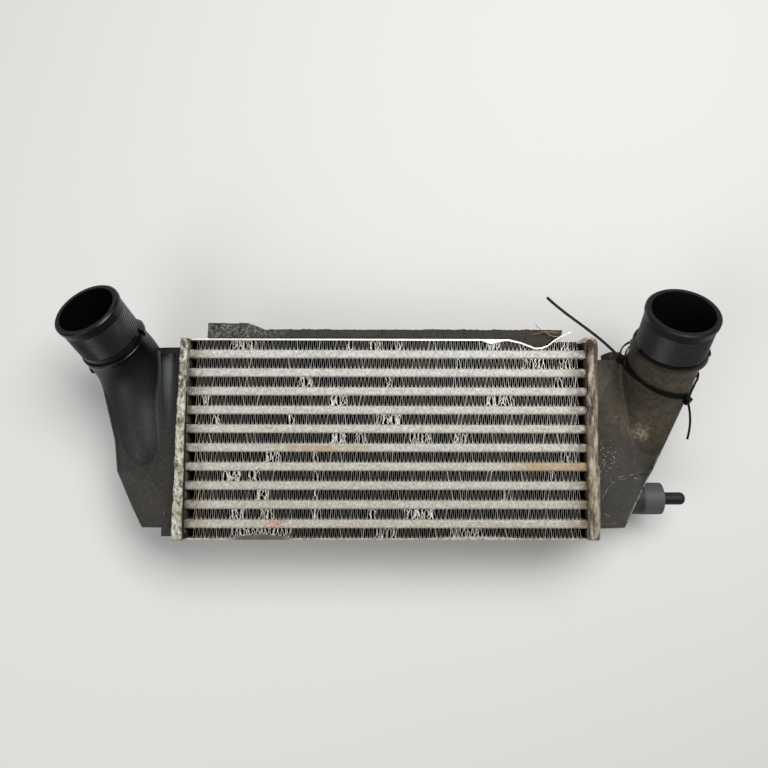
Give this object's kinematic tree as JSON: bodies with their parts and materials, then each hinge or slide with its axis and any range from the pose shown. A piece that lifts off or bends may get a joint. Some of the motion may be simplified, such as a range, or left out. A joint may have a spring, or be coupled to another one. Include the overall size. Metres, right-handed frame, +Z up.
{
  "type": "intercooler",
  "caption": "Charge-air cooler: flat alloy tubes and corrugated fins between two crimped headers, with a moulded air tank and angled hose spigot at each end.",
  "frame": {"origin": "the middle of the left header's resting edge: its lower face, half way up the stack of tubes", "axes": "+X along the tubes from the left tank to the right tank, +Y across the stack of tubes towards the hose spigots' side, +Z up through the depth of the core, away from the surface it lies on"},
  "size_m": [0.4717, 0.1855, 0.1396],
  "materials": {
    "tube_alloy": "dull, dusty",
    "turbulator_alloy": "dull",
    "fin_alloy": "dull, dusty",
    "side_plate_alloy": "dull, scuffed",
    "header_alloy": "oxidised, mottled",
    "gasket_rubber": "matt",
    "left_tank_plastic": "satin, dusty",
    "right_tank_plastic": "dusty, scuffed",
    "seal_foam": "matt, open-celled",
    "tie_nylon": "satin"
  },
  "bodies": {
    "root": {"charge_tube_01": "tube_alloy", "charge_tube_02": "tube_alloy", "charge_tube_03": "tube_alloy", "charge_tube_04": "tube_alloy", "charge_tube_05": "tube_alloy", "charge_tube_06": "tube_alloy", "charge_tube_07": "tube_alloy", "charge_tube_08": "tube_alloy", "charge_tube_09": "tube_alloy", "charge_tube_10": "tube_alloy", "turbulator_01": "turbulator_alloy", "turbulator_02": "turbulator_alloy", "turbulator_03": "turbulator_alloy", "turbulator_04": "turbulator_alloy", "turbulator_05": "turbulator_alloy", "turbulator_06": "turbulator_alloy", "turbulator_07": "turbulator_alloy", "turbulator_08": "turbulator_alloy", "turbulator_09": "turbulator_alloy", "turbulator_10": "turbulator_alloy", "fin_row_01": "fin_alloy", "fin_row_02": "fin_alloy", "fin_row_03": "fin_alloy", "fin_row_04": "fin_alloy", "fin_row_05": "fin_alloy", "fin_row_06": "fin_alloy", "fin_row_07": "fin_alloy", "fin_row_08": "fin_alloy", "fin_row_09": "fin_alloy", "fin_row_10": "fin_alloy", "fin_row_11": "fin_alloy", "top_side_plate": "side_plate_alloy", "bottom_side_plate": "side_plate_alloy", "foam_seal_strip": "seal_foam", "left_header_plate": "header_alloy", "right_header_plate": "header_alloy", "left_gasket": "gasket_rubber", "right_gasket": "gasket_rubber", "left_tank": "left_tank_plastic", "right_tank": "right_tank_plastic", "cable_tie_long_tail": "tie_nylon", "cable_tie_short_tail": "tie_nylon"}
  },
  "joints": []
}
